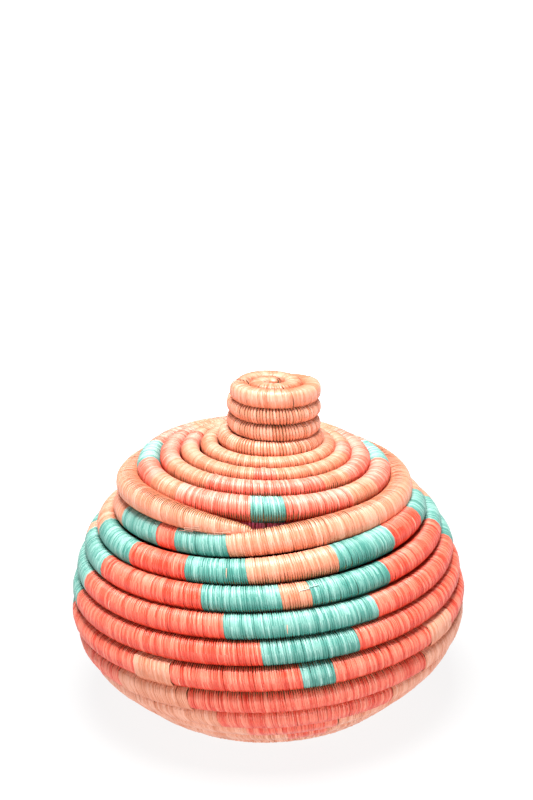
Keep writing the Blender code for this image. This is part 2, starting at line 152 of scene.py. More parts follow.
def thinned(here, below, full, left):
    """Where a coil's tail lies against the row below it, and its radius there.

    What is left of the tail runs from 1, where it begins, to 0 at its tip.
    """
    left = min(1.0, max(0.0, left))
    radius = TAIL_TIP + (full - TAIL_TIP) * math.sqrt(1 - (1 - left) ** TAIL_CURVE)
    way = here - below
    reach = np.linalg.norm(way)
    return below + way * (reach - (full - radius)) / reach, radius


def body_line(azimuths):
    """Places, facings and radii along the body's coil."""
    places, facings, radii = [], [], []
    for azimuth in azimuths:
        here, facing = body_place(azimuth)
        radius = body_thickness(azimuth)
        left = (azimuths[-1] - azimuth) / TAIL
        if left < 1:
            here, radius = thinned(here, body_place(azimuth - ONE_TURN)[0], radius, left)
        places.append(here)
        facings.append(facing)
        radii.append(radius)
    return np.array(places), np.array(facings), np.array(radii)


body_azimuths = np.linspace(BODY_START, RIM_END, BODY_POINTS)
body_coil = body_line(body_azimuths)


def placed(name, data):
    """A new object in the scene that holds this mesh, light or camera."""
    made = bpy.data.objects.new(name, data)
    bpy.context.scene.collection.objects.link(made)
    return made


MOST_OF_AN_EDGE = 0.6


def path_mesh(name, coil, runs, gap=0.0):
    """Loose edges along a coil, one stretch for each run of it, with its radius and facing.

    A run that another one leads up to begins this gap further on, still on its first edge.
    """
    places, facings, radii = coil
    points, edges, faces, sizes = [], [], [], []
    for first, last in runs:
        start = len(points)
        run = [tuple(p) for p in places[first : last + 1]]
        if first and gap:
            step = places[first + 1] - places[first]
            moved = min(MOST_OF_AN_EDGE, gap / np.linalg.norm(step))
            run[0] = tuple(places[first] + step * moved)
        points += run
        faces += [tuple(f) for f in facings[first : last + 1]]
        sizes += list(radii[first : last + 1])
        edges += [(start + i, start + i + 1) for i in range(last - first)]
    mesh = bpy.data.meshes.new(name)
    mesh.from_pydata(points, edges, [])
    facing = mesh.attributes.new("facing", "FLOAT_VECTOR", "POINT")
    facing.data.foreach_set("vector", np.array(faces, np.float32).ravel())
    thickness = mesh.attributes.new("thickness", "FLOAT", "POINT")
    thickness.data.foreach_set("value", np.array(sizes, np.float32))
    return placed(name, mesh)


def new_tree(name, sockets):
    """A Geometry Nodes tree with a geometry passing through it and these named inputs."""
    tree = bpy.data.node_groups.new(name, "GeometryNodeTree")
    tree.interface.new_socket("Geometry", in_out="INPUT", socket_type="NodeSocketGeometry")
    tree.interface.new_socket("Geometry", in_out="OUTPUT", socket_type="NodeSocketGeometry")
    for label, kind in sockets:
        tree.interface.new_socket(label, in_out="INPUT", socket_type=kind)
    return tree


def node(tree, kind, values=None, **settings):
    """A new node with these settings, and these values on its own sockets."""
    made = tree.nodes.new(kind)
    for key, setting in settings.items():
        setattr(made, key, setting)
    for socket, value in (values or {}).items():
        made.inputs[socket].default_value = value
    return made


def dressed_and_out(tree, grown_mesh, material):
    """The end of a tree: real mesh in this material, handed out."""
    real = node(tree, "GeometryNodeRealizeInstances")
    tree.links.new(grown_mesh, real.inputs["Geometry"])
    dressed = node(tree, "GeometryNodeSetMaterial")
    tree.links.new(real.outputs["Geometry"], dressed.inputs["Geometry"])
    tree.links.new(material, dressed.inputs["Material"])
    leave = node(tree, "NodeGroupOutput")
    tree.links.new(dressed.outputs["Geometry"], leave.inputs["Geometry"])


def grown(source, tree, values):
    """The plain mesh that a tree makes of an object, whose modifier is then taken off."""
    modifier = source.modifiers.new(tree.name, "NODES")
    modifier.node_group = tree
    for item in tree.interface.items_tree:
        if item.item_type == "SOCKET" and item.in_out == "INPUT" and item.name in values:
            modifier[item.identifier] = values[item.name]
    source.update_tag()
    graph = bpy.context.evaluated_depsgraph_get()
    mesh = bpy.data.meshes.new_from_object(source.evaluated_get(graph))
    source.modifiers.remove(modifier)
    name = source.name
    bpy.data.objects.remove(source)
    return placed(name, mesh)


bundle = new_tree(
    "grass bundle",
    (("Share", "NodeSocketFloat"), ("Sides", "NodeSocketInt"), ("Grass", "NodeSocketMaterial")),
)
entry = node(bundle, "NodeGroupInput")
curve = node(bundle, "GeometryNodeMeshToCurve")
bundle.links.new(entry.outputs["Geometry"], curve.inputs["Mesh"])
size = node(
    bundle, "GeometryNodeInputNamedAttribute", {"Name": "thickness"}, data_type="FLOAT"
)
share = node(bundle, "ShaderNodeMath", operation="MULTIPLY")
bundle.links.new(size.outputs["Attribute"], share.inputs[0])
bundle.links.new(entry.outputs["Share"], share.inputs[1])
outline = node(bundle, "GeometryNodeCurvePrimitiveCircle", {"Radius": 1.0})
bundle.links.new(entry.outputs["Sides"], outline.inputs["Resolution"])
tube = node(bundle, "GeometryNodeCurveToMesh", {"Fill Caps": True})
bundle.links.new(share.outputs[0], tube.inputs["Scale"])
bundle.links.new(curve.outputs["Curve"], tube.inputs["Curve"])
bundle.links.new(outline.outputs["Curve"], tube.inputs["Profile Curve"])
dressed_and_out(bundle, tube.outputs["Mesh"], entry.outputs["Grass"])


def new_material(name, values):
    """A material with these values on its shader's sockets, with its tree and shader."""
    made = bpy.data.materials.new(name)
    made.use_nodes = True
    shader = made.node_tree.nodes["Principled BSDF"]
    for socket, value in values.items():
        shader.inputs[socket].default_value = value
    return made, made.node_tree, shader


# Dry grass: stalks in light and shadow
DRY_GRASS, tree, shader = new_material("dry_grass_bundle", {"Roughness": 0.85})
place = node(tree, "ShaderNodeTexCoord")
stalks = node(tree, "ShaderNodeTexNoise", {"Scale": 900.0, "Detail": 2.0})
ramp = node(tree, "ShaderNodeValToRGB")
hollow, stalk = ramp.color_ramp.elements
hollow.position, hollow.color = 0.35, (0.105, 0.063, 0.0245, 1)
stalk.position, stalk.color = 0.7, (0.39, 0.234, 0.084, 1)
tree.links.new(place.outputs["Object"], stalks.inputs["Vector"])
tree.links.new(stalks.outputs["Fac"], ramp.inputs["Fac"])
tree.links.new(ramp.outputs["Color"], shader.inputs["Base Color"])

GRASS_SHARE = 0.93  # of the wrapped coil's radius
GRASS_SIDES = 12


def grass_core(name, coil):
    """The grass bundle within a coil, on every second point of its line."""
    count = len(coil[0])
    keep = [*range(0, count - 1, 2), count - 1]
    path = path_mesh(name, tuple(part[keep] for part in coil), [(0, len(keep) - 1)])
    values = {"Share": GRASS_SHARE, "Sides": GRASS_SIDES, "Grass": DRY_GRASS}
    return grown(path, bundle, values)


STANDING_HEIGHT = 0.0002
PRESSED_SHARE = 0.05  # how much of its depth below that a pressed strand keeps


def stood_flat(piece):
    """Press a piece flat where the basket stands on it."""
    spots = np.empty(len(piece.data.vertices) * 3, np.float32)
    piece.data.vertices.foreach_get("co", spots)
    height = spots[2::3]
    pressed = STANDING_HEIGHT + PRESSED_SHARE * (height - STANDING_HEIGHT)
    spots[2::3] = np.where(height < STANDING_HEIGHT, pressed, height)
    piece.data.vertices.foreach_set("co", spots)
    piece.data.update()


body_core = grass_core("body_grass_bundle", body_coil)
stood_flat(body_core)
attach(body_core, "body")
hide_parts("body_rim_grass_core")

# The raffia round the body's coil: flat strands wound side by side round the grass, each
# pulled tight and pinched over the row below. Their dye changes from run to run, which makes
# the pattern of nested triangles.

STRAND_SPACING = 0.00092
STRAND_SIDES = 14
STRAND_PROFILE = ((-0.5, 0.0), (-0.22, 1.0), (0.22, 1.0), (0.5, 0.0))  # across, and lift
PINCH_POWER = 5  # the higher, the closer to the groove the pinch begins


def strand_mesh(name, width, crown, pinch, squareness=2.5, flatness=0.5):
    """One strand round a coil of radius 1: a closed band, crowned across, with its own UV.

    It bulges towards a square by this flatness, which fills the grooves between rows, and is
    pinched to a narrower band where it dips between them.
    """
    points, faces, uv = [], [], []
    count = len(STRAND_PROFILE)
    for i in range(STRAND_SIDES):
        angle = ONE_TURN * i / STRAND_SIDES
        c, s = math.cos(angle), math.sin(angle)
        out = (abs(c) ** squareness + abs(s) ** squareness) ** (-1 / squareness)
        out = 1 + (out - 1) * flatness
        for across, lift in STRAND_PROFILE:
            reach = out + crown * (lift - 1)
            narrowed = 1 - pinch * abs(s) ** PINCH_POWER
            points.append((reach * c, reach * s, across * width * narrowed))
    for i in range(STRAND_SIDES):
        here, ahead = i * count, (i + 1) % STRAND_SIDES * count
        for j in range(count):
            k = (j + 1) % count
            faces.append((here + j, ahead + j, ahead + k, here + k))
            a, b = i / STRAND_SIDES, (i + 1) / STRAND_SIDES
            u, w = (1.0, 0.0) if k == 0 else (j / (count - 1), k / (count - 1))
            uv += [(u, a), (u, b), (w, b), (w, a)]
    mesh = bpy.data.meshes.new(name)
    mesh.from_pydata(points, [], faces)
    layer = mesh.uv_layers.new(name="UVMap")
    layer.data.foreach_set("uv", np.array(uv, np.float32).ravel())
    mesh.shade_smooth()
    return placed(name, mesh)


wrapping = new_tree(
    "raffia wrapping",
    (
        ("Strand", "NodeSocketObject"),
        ("Spacing", "NodeSocketFloat"),
        ("Slant", "NodeSocketFloat"),
        ("Looseness", "NodeSocketFloat"),
        ("Seed", "NodeSocketInt"),
        ("Raffia", "NodeSocketMaterial"),
    ),
)
GIRTHS = (0.982, 1.012)  # how much strands differ in the height that they stand at
BREADTHS = (0.90, 1.15)  # and in their width
OTHER_SEED = 7  # added to the seed, so that breadth and tone differ apart from girth


def chance_of(seed, low, high):
    """A random number for each strand."""
    made = node(wrapping, "FunctionNodeRandomValue", {2: low, 3: high}, data_type="FLOAT")
    wrapping.links.new(seed, made.inputs["Seed"])
    return made.outputs[1]


entry = node(wrapping, "NodeGroupInput")
curve = node(wrapping, "GeometryNodeMeshToCurve")
wrapping.links.new(entry.outputs["Geometry"], curve.inputs["Mesh"])
spaced = node(wrapping, "GeometryNodeResampleCurve", mode="LENGTH")
wrapping.links.new(curve.outputs["Curve"], spaced.inputs["Curve"])
wrapping.links.new(entry.outputs["Spacing"], spaced.inputs["Length"])
# Each strand stands square to the coil, slants a little and sways by chance
tangent = node(wrapping, "GeometryNodeInputTangent")
facing = node(
    wrapping, "GeometryNodeInputNamedAttribute", {"Name": "facing"}, data_type="FLOAT_VECTOR"
)
square = node(wrapping, "FunctionNodeAxesToRotation", primary_axis="Z", secondary_axis="X")
wrapping.links.new(tangent.outputs[0], square.inputs["Primary Axis"])
wrapping.links.new(facing.outputs["Attribute"], square.inputs["Secondary Axis"])
chance = node(
    wrapping,
    "FunctionNodeRandomValue",
    {"Min": (-1, -1, -1), "Max": (1, 1, 1)},
    data_type="FLOAT_VECTOR",
)
wrapping.links.new(entry.outputs["Seed"], chance.inputs["Seed"])
sway = node(wrapping, "ShaderNodeVectorMath", operation="SCALE")
wrapping.links.new(chance.outputs["Value"], sway.inputs[0])
wrapping.links.new(entry.outputs["Looseness"], sway.inputs["Scale"])
slant = node(wrapping, "ShaderNodeCombineXYZ")
wrapping.links.new(entry.outputs["Slant"], slant.inputs["X"])
tilt = node(wrapping, "ShaderNodeVectorMath", operation="ADD")
wrapping.links.new(sway.outputs["Vector"], tilt.inputs[0])
wrapping.links.new(slant.outputs["Vector"], tilt.inputs[1])
tilted = node(wrapping, "FunctionNodeEulerToRotation")
wrapping.links.new(tilt.outputs["Vector"], tilted.inputs[0])
leant = node(wrapping, "FunctionNodeRotateRotation", rotation_space="LOCAL")
wrapping.links.new(square.outputs["Rotation"], leant.inputs["Rotation"])
wrapping.links.new(tilted.outputs["Rotation"], leant.inputs["Rotate By"])
# Its girth follows the coil, and strands differ a little in girth, breadth and tone
size = node(
    wrapping, "GeometryNodeInputNamedAttribute", {"Name": "thickness"}, data_type="FLOAT"
)
girth = node(wrapping, "ShaderNodeMath", operation="MULTIPLY")
wrapping.links.new(size.outputs["Attribute"], girth.inputs[0])
wrapping.links.new(chance_of(entry.outputs["Seed"], *GIRTHS), girth.inputs[1])
other = node(wrapping, "FunctionNodeIntegerMath", {1: OTHER_SEED}, operation="ADD")
wrapping.links.new(entry.outputs["Seed"], other.inputs[0])
scale = node(wrapping, "ShaderNodeCombineXYZ")
wrapping.links.new(girth.outputs[0], scale.inputs["X"])
wrapping.links.new(girth.outputs[0], scale.inputs["Y"])
wrapping.links.new(chance_of(other.outputs[0], *BREADTHS), scale.inputs["Z"])
strand = node(wrapping, "GeometryNodeObjectInfo")
wrapping.links.new(entry.outputs["Strand"], strand.inputs["Object"])
laid = node(wrapping, "GeometryNodeInstanceOnPoints")
wrapping.links.new(spaced.outputs["Curve"], laid.inputs["Points"])
wrapping.links.new(strand.outputs["Geometry"], laid.inputs["Instance"])
wrapping.links.new(leant.outputs["Rotation"], laid.inputs["Rotation"])
wrapping.links.new(scale.outputs["Vector"], laid.inputs["Scale"])
toned = node(
    wrapping,
    "GeometryNodeStoreNamedAttribute",
    {"Name": "shade"},
    data_type="FLOAT",
    domain="INSTANCE",
)
wrapping.links.new(laid.outputs["Instances"], toned.inputs["Geometry"])
wrapping.links.new(chance_of(other.outputs[0], 0.0, 1.0), toned.inputs["Value"])
dressed_and_out(wrapping, toned.outputs["Geometry"], entry.outputs["Raffia"])

# How raffia looks: fine fibres along each strand, some strands paler, painted highlight above each
# row and painted shade below
FIBRE_STRETCH = (5.0, 2.4, 0.0)  # how often streaks come across a strand, and along it
FAR_APART = 97.0  # strands of other tones take their streaks from so far away in the noise
TONE_WEIGHT = 0.28
# Painted highlight and shade: how strong they are, and which side of the coil is painted as lit
LIGHT_AND_SHADE_WEIGHT = 0.24
PAINTED_HIGHLIGHT_SIDE = math.radians(38)  # above straight out
fibres = bpy.data.node_groups.new("raffia fibres", "ShaderNodeTree")
for label in ("Dye", "Pale", "Deep"):
    fibres.interface.new_socket(label, in_out="INPUT", socket_type="NodeSocketColor")
fibres.interface.new_socket("Colour", in_out="OUTPUT", socket_type="NodeSocketColor")
fibres.interface.new_socket("Height", in_out="OUTPUT", socket_type="NodeSocketFloat")
entry = node(fibres, "NodeGroupInput")
leave = node(fibres, "NodeGroupOutput")
uv = node(fibres, "ShaderNodeUVMap", uv_map="UVMap")
tone = node(fibres, "ShaderNodeAttribute", attribute_name="shade")
far = node(fibres, "ShaderNodeMath", {1: FAR_APART}, operation="MULTIPLY")
fibres.links.new(tone.outputs["Fac"], far.inputs[0])
own_place = node(fibres, "ShaderNodeCombineXYZ")
fibres.links.new(far.outputs[0], own_place.inputs["Z"])
fibres.links.new(far.outputs[0], own_place.inputs["Y"])
drawn_out = node(fibres, "ShaderNodeVectorMath", {1: FIBRE_STRETCH}, operation="MULTIPLY_ADD")
fibres.links.new(uv.outputs["UV"], drawn_out.inputs[0])
fibres.links.new(own_place.outputs["Vector"], drawn_out.inputs[2])
streak = node(fibres, "ShaderNodeTexNoise", {"Scale": 1.0, "Detail": 3.0, "Roughness": 0.6})
fibres.links.new(drawn_out.outputs["Vector"], streak.inputs["Vector"])
# Painted highlight and shade: the colour grows paler towards the side of the coil that faces up
# and out, where the top light falls, and deeper on the side turned away from it
parts = node(fibres, "ShaderNodeSeparateXYZ")
fibres.links.new(uv.outputs["UV"], parts.inputs["Vector"])
round_coil = node(
    fibres, "ShaderNodeMath", {1: ONE_TURN, 2: PAINTED_HIGHLIGHT_SIDE}, operation="MULTIPLY_ADD"
)
fibres.links.new(parts.outputs["Y"], round_coil.inputs[0])
outward = node(fibres, "ShaderNodeMath", operation="COSINE")
fibres.links.new(round_coil.outputs[0], outward.inputs[0])
lit_and_shaded = node(fibres, "ShaderNodeMath", {1: LIGHT_AND_SHADE_WEIGHT}, operation="MULTIPLY_ADD")
fibres.links.new(outward.outputs[0], lit_and_shaded.inputs[0])
fibres.links.new(streak.outputs["Fac"], lit_and_shaded.inputs[2])
mixed = node(fibres, "ShaderNodeMath", {1: TONE_WEIGHT}, operation="MULTIPLY_ADD")
fibres.links.new(tone.outputs["Fac"], mixed.inputs[0])
fibres.links.new(lit_and_shaded.outputs[0], mixed.inputs[2])


def blend(low, high, under, over):
    """Colour that goes from one to the other as the mix of streak, tone and painted light rises.
    """
    # a colour mix has its two colours on sockets 6 and 7, and its result on 2
    span = node(fibres, "ShaderNodeMapRange", {"From Min": low, "From Max": high})
    fibres.links.new(mixed.outputs[0], span.inputs["Value"])
    made = node(fibres, "ShaderNodeMix", data_type="RGBA")
    fibres.links.new(span.outputs["Result"], made.inputs["Factor"])
    fibres.links.new(under, made.inputs[6])
    fibres.links.new(over, made.inputs[7])
    return made.outputs[2]


full_dye = blend(0.36, 0.84, entry.outputs["Deep"], entry.outputs["Dye"])
with_pale = blend(0.74, 1.12, full_dye, entry.outputs["Pale"])
fibres.links.new(with_pale, leave.inputs["Colour"])
fibres.links.new(streak.outputs["Fac"], leave.inputs["Height"])


def raffia(name, dye, pale, deep):
    """Raffia in one dye, with its pale and its deep shade, which also give the painted highlight
    and painted shade round each row.
    """
    made, tree, shader = new_material(name, {"Roughness": 0.40, "Specular IOR Level": 0.6})
    look = node(tree, "ShaderNodeGroup", node_tree=fibres)
    for socket, colour in (("Dye", dye), ("Pale", pale), ("Deep", deep)):
        look.inputs[socket].default_value = (*colour, 1)
    tree.links.new(look.outputs["Colour"], shader.inputs["Base Color"])
    ridges = node(tree, "ShaderNodeBump", {"Strength": 0.5, "Distance": 0.0003})
    tree.links.new(look.outputs["Height"], ridges.inputs["Height"])
    tree.links.new(ridges.outputs["Normal"], shader.inputs["Normal"])
    return made


CORAL = raffia(
    "coral_dyed_raffia", (0.80, 0.072, 0.030), (0.94, 0.32, 0.21), (0.62, 0.022, 0.010)
)
TEAL = raffia("teal_dyed_raffia", (0.085, 0.33, 0.27), (0.40, 0.66, 0.59), (0.025, 0.20, 0.16))
NATURAL = raffia("undyed_raffia", (0.76, 0.255, 0.135), (0.93, 0.49, 0.35), (0.60, 0.16, 0.075))

MOTIFS = (8.0, 103.0, -92.0)  # the three triangles stand round these azimuths
# row by row down: how far each triangle's middle stands aside, and half its width
TEAL_REACH = ((0, 46.0), (0, 38.0), (0, 28.3), (0, 21.4), (1.6, 14.2), (3.6, 4.0))
NATURAL_REACH = ((0, 24.0), (-1.6, 14.4), (-0.8, 4.4))  # and the undyed heart of each
LOW_PATCHES = {
    # undyed patches in the coral rows, by row
    6: ((-41.0, -30.0), (49.5, 60.0), (186.0, 198.0)),
    7: ((-46.8, -24.0), (48.0, 84.0), (178.0, 206.0)),
}
CORAL_POINTS = {8: (0.8, 26.0), 9: (-3.0, 14.0), 10: (4.0, 7.0)}  # these end in the undyed base
UNDYED_FROM = -17.2  # the row below the tail is undyed from this side on
LAST_DYED_ROW = 10
LAST_ROW = 16


def row_of(azimuth):
    """The row of the body's coil here, counted down from the tail on the rim, which is 0."""
    return round((face_of(azimuth) - math.degrees(azimuth)) / 360)


def body_dye(azimuth):
    """The dye of the body's coil here: the row sets the pattern."""
    face = face_of(azimuth)
    row = row_of(azimuth)
    if row == 0 or row > LAST_DYED_ROW or (row == 1 and face > UNDYED_FROM):
        return "natural"

    def within(aside, reach):
        return any(abs((face - centre - aside + 180) % 360 - 180) < reach for centre in MOTIFS)

    if row in CORAL_POINTS:
        return "coral" if within(*CORAL_POINTS[row]) else "natural"
    for low, high in LOW_PATCHES.get(row, ()):
        if (face - low) % 360 < high - low:
            return "natural"
    if row <= len(NATURAL_REACH) and within(*NATURAL_REACH[row - 1]):
        return "natural"
    if row <= len(TEAL_REACH) and within(*TEAL_REACH[row - 1]):
        return "teal"
    return "coral"


def dye_runs(azimuths, dye):
    """Where each dye begins and ends along a coil: {dye: [(first, last), ...]}."""
    found = {}
    names = [dye(azimuth) for azimuth in azimuths]
    first = 0
    for i in range(1, len(names) + 1):
        if i == len(names) or names[i] != names[first]:
            found.setdefault(names[first], []).append((first, min(i, len(names) - 1)))
            first = i
    return found


def wrap(name, coil, runs, material, strand, seed, slant=0.0, loose=0.026, spacing=STRAND_SPACING):
    """Raffia wound round these runs of a coil."""
    values = {
        "Strand": strand,
        "Spacing": spacing,
        "Slant": slant,
        "Looseness": loose,
        "Seed": seed,
        "Raffia": material,
    }
    return grown(path_mesh(name, coil, runs, gap=spacing), wrapping, values)


body_strand = strand_mesh(
    "body_strand", width=0.00140, crown=0.045, pinch=0.78, squareness=2.6, flatness=0.6
)
flat_strand = strand_mesh(
    "flat_strand", width=0.00140, crown=0.035, pinch=0.20, squareness=5.0, flatness=0.90
)
BODY_SLANT = 0.13
BODY_SEED = 3
BODY_DYES = {"coral": CORAL, "teal": TEAL, "natural": NATURAL}
BODY_PIECES = (
    # name, dye, first and last row, strand, and what it stands for
    ("body_coral_upper_raffia", "coral", 0, 4, body_strand,
     ("body_wall_raffia_wrap", "body_belly_raffia_wrap")),
    ("body_coral_lower_raffia", "coral", 5, 7, body_strand, ("body_flank_raffia_wrap",)),
    ("body_coral_foot_raffia", "coral", 8, LAST_ROW, flat_strand, ()),
    ("body_teal_raffia", "teal", 0, LAST_ROW, body_strand, ()),
    ("body_rim_raffia", "natural", 0, 4, body_strand, ("body_rim_raffia_wrap",)),
    ("body_heel_raffia", "natural", 5, 10, flat_strand, ("body_heel_raffia_wrap",)),
    ("body_base_raffia", "natural", 11, LAST_ROW, flat_strand, ("body_base_raffia_wrap",)),
)
body_runs = dye_runs(body_azimuths, body_dye)
for seed, (name, dye, top_row, low_row, strand, solids) in enumerate(BODY_PIECES, BODY_SEED):
    runs = [
        (first, last)
        for first, last in body_runs[dye]
        if top_row <= row_of(body_azimuths[(first + last) // 2]) <= low_row
    ]
    piece = wrap(name, body_coil, runs, BODY_DYES[dye], strand, seed, slant=BODY_SLANT)
    stood_flat(piece)
    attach(piece, "body")
    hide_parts(*solids)

# The lid's coil runs from its edge in over the crown, up the hollow knob and in over its
# top, thinning on the way. It lies a little askew on the rim's rising end.

LID_END = math.pi  # azimuth of the coil's outer tip
EDGE_COIL = 0.0101  # thickness of the lid's coil at its edge
KNOB_COIL = 0.0068  # and in the knob
LID_SWELL = 0.00050
LID_START_SHARE = 0.6
LID_ROW_GAP = 0.0008
TOP_ROW_GAP = 0.0005  # and this much more between the rows on the knob's top
EDGE_INSET = 0.0092  # the lid's outer row lies this far inside the mouth's line
EDGE_SLOPE = 34
EDGE_BEND = 0.0103  # lengths along the lid's section
CROWN_SLOPE = 17.5
CROWN_LENGTH = 0.0162
KNOB_FOOT = 0.0140  # radius of the bend up into the knob
KNOB_WALL = 0.0135  # height of the knob's upright part
KNOB_EDGE = 0.0010  # radius of the bend over its top
KNOB_CENTRE = 0.0005  # radius where the coil begins
TOP_TURNING = 0.004  # on the knob's top the wrapping turns to face up within this length
KNOB_ASIDE = 0.0050  # the knob stands this far to the right of the lid's middle
KNOB_LEAN = 0.0006  # and its top this much less
LID_LEAN = Euler((math.radians(0.7), math.radians(3.3), 0.0)).to_matrix()
LID_SEAT = np.array((-0.0010, 0.0, 0.1082))
SECTION_STEP = 0.00005
EDGE_TURNS = 0.5  # the coil keeps its thickness for so long, and then nears the knob's
EDGE_WANDER = 0.8  # how unevenly the outer row moves in over its first turn


def lid_thickness(turns):
    """Thickness of the lid's coil, this many turns in from its edge."""
    return KNOB_COIL + (EDGE_COIL - KNOB_COIL) * 0.5 ** max(0.0, turns - EDGE_TURNS)


def lid_pitch(turns):
    """Distance between two rows of the lid."""
    return (lid_thickness(turns) + lid_thickness(turns - 1)) / 2 + LID_ROW_GAP


def lid_line():
    """Close points along the lid's section from its edge in: radius, height, facing, drift."""
    mouth = wall(WALL_LENGTH)[0]
    pieces = (
        # length, and the slope at each end of it
        (lid_pitch(1) / 2, EDGE_SLOPE, EDGE_SLOPE),
        (EDGE_BEND, EDGE_SLOPE, CROWN_SLOPE),
        (CROWN_LENGTH, CROWN_SLOPE, CROWN_SLOPE),
        (KNOB_FOOT * math.radians(90 - CROWN_SLOPE), CROWN_SLOPE, 90),
        (KNOB_WALL, 90, 90),
        (KNOB_EDGE * math.pi / 2, 90, 0),
        (mouth, 0, 0),
    )
    slopes = [
        np.linspace(low, high, round(length / SECTION_STEP)) for length, low, high in pieces
    ]
    edge = len(slopes[0])
    knob = sum(len(slope) for slope in slopes[:4])
    slopes = np.radians(np.concatenate(slopes))
    inwards = np.cumsum(np.cos(slopes)) * SECTION_STEP
    height = np.cumsum(np.sin(slopes)) * SECTION_STEP
    radius = mouth - EDGE_INSET - (inwards - inwards[edge])
    facing = np.where(np.arange(len(slopes)) < knob, math.pi / 2 - slopes, 0.0)
    top = np.argmax(height >= height.max() - 1e-6)
    turned = (radius[top] - radius[top:]) / TOP_TURNING * math.pi / 2
    facing[top:] = np.minimum(math.pi / 2, turned)
    drift = KNOB_ASIDE * np.minimum(np.arange(len(slopes)) / knob, 1.0) ** 2.0
    drift -= KNOB_LEAN * np.clip((height - height[knob]) / KNOB_WALL, 0.0, 1.0)
    return radius, height - height[edge], facing, drift


def lid_coil_line():
    """Azimuths along the lid's coil from the knob's top out, and its places, facings, radii."""
    radius, height, facing, drift = lid_line()
    top = int(np.argmax(height))
    spots = []
    while True:
        turns = len(spots) / POINTS_PER_TURN
        if turns < 1:
            along = turns + EDGE_WANDER * math.sin(ONE_TURN * turns) / ONE_TURN
            spots.append(round(along * lid_pitch(1) / SECTION_STEP))
            continue
        outside = spots[-POINTS_PER_TURN]
        apart = np.hypot(radius - radius[outside], height - height[outside])
        needed = lid_pitch(turns) + (TOP_ROW_GAP if spots[-1] > top else 0.0)
        spot = outside + int(np.argmax(apart[outside:] >= needed))
        if radius[spot] < KNOB_CENTRE:
            break
        spots.append(spot)
    spots = spots[::-1]
    azimuths = LID_END - np.arange(len(spots))[::-1] * ONE_TURN / POINTS_PER_TURN
    places, facings, radii = [], [], []
    for azimuth, spot in zip(azimuths, spots):
        here = around(azimuth, radius[spot], height[spot])
        here[0] += drift[spot]
        grown_by = (azimuth - azimuths[0]) / (ONE_TURN * STARTING_TURNS)
        whole = lid_thickness((LID_END - azimuth) / ONE_TURN) / 2 + LID_SWELL
        full = whole * min(1.0, LID_START_SHARE + (1 - LID_START_SHARE) * grown_by)
        here[2] += whole - full
        places.append(here)
        facings.append(around(azimuth, math.cos(facing[spot]), math.sin(facing[spot])))
        radii.append(full)
    places, facings, radii = np.array(places), np.array(facings), np.array(radii)
    for i, azimuth in enumerate(azimuths):
        left = (azimuths[-1] - azimuth) / TAIL
        if left < 1:
            below = places[i - POINTS_PER_TURN]
            places[i], radii[i] = thinned(places[i], below, radii[i], left)
    return azimuths, (places, facings, radii)


def on_the_body(coil):
    """The lid's own coil set down where the lid lies, leaning a little."""
    places, facings, radii = coil
    lean = np.array(LID_LEAN)
    return places @ lean.T + LID_SEAT, facings @ lean.T, radii


lid_azimuths, lid_coil = lid_coil_line()
lid_coil = on_the_body(lid_coil)
lid_core = grass_core("lid_grass_bundle", lid_coil)
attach(lid_core, "lid")
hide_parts("lid_grass_core")

# The lid's raffia: coloured blocks on the two outer rows, undyed from there in and over
# the knob, whose strands are coarser and further apart. Its coral and teal are paler
# copies of the body's dyes, a painted highlight for the light that falls on the lid from above.

# Paler copies of coral and teal for the lid: painted highlight for the light on its upward-facing
# rows
PAINTED_HIGHLIGHT_CORAL = raffia(
    "faded_coral_raffia", (0.90, 0.20, 0.125), (0.98, 0.54, 0.43), (0.70, 0.06, 0.03)
)
PAINTED_HIGHLIGHT_TEAL = raffia(
    "faded_teal_raffia", (0.15, 0.42, 0.35), (0.56, 0.78, 0.72), (0.045, 0.25, 0.20)
)
LID_BLOCKS = (
    # row by row from the edge in: the dye of the row, and where it changes to another
    ("coral", ((-6.5, 8.5, "teal"), (39, 60, "natural"), (90, 116, "teal"),
               (138, 158, "natural"), (174, 194, "teal"), (210, 222, "natural"),
               (253, 279, "teal"), (300, 316, "natural"))),
    ("coral", ((30, 51, "natural"), (128, 150, "natural"), (210, 232, "natural"),
               (294, 326, "natural"))),
    ("natural", ((-10, 6, "coral"), (70, 95, "coral"), (172, 188, "coral"), (248, 274, "coral"))),
)


def lid_dye(azimuth):
    """The dye of the lid's coil here."""
    row = int((LID_END - azimuth) / ONE_TURN)
    if row >= len(LID_BLOCKS):
        return "natural"
    ground, blocks = LID_BLOCKS[row]
    for low, high, dye in blocks:
        if (math.degrees(azimuth) - low) % 360 < high - low:
            return dye
    return ground


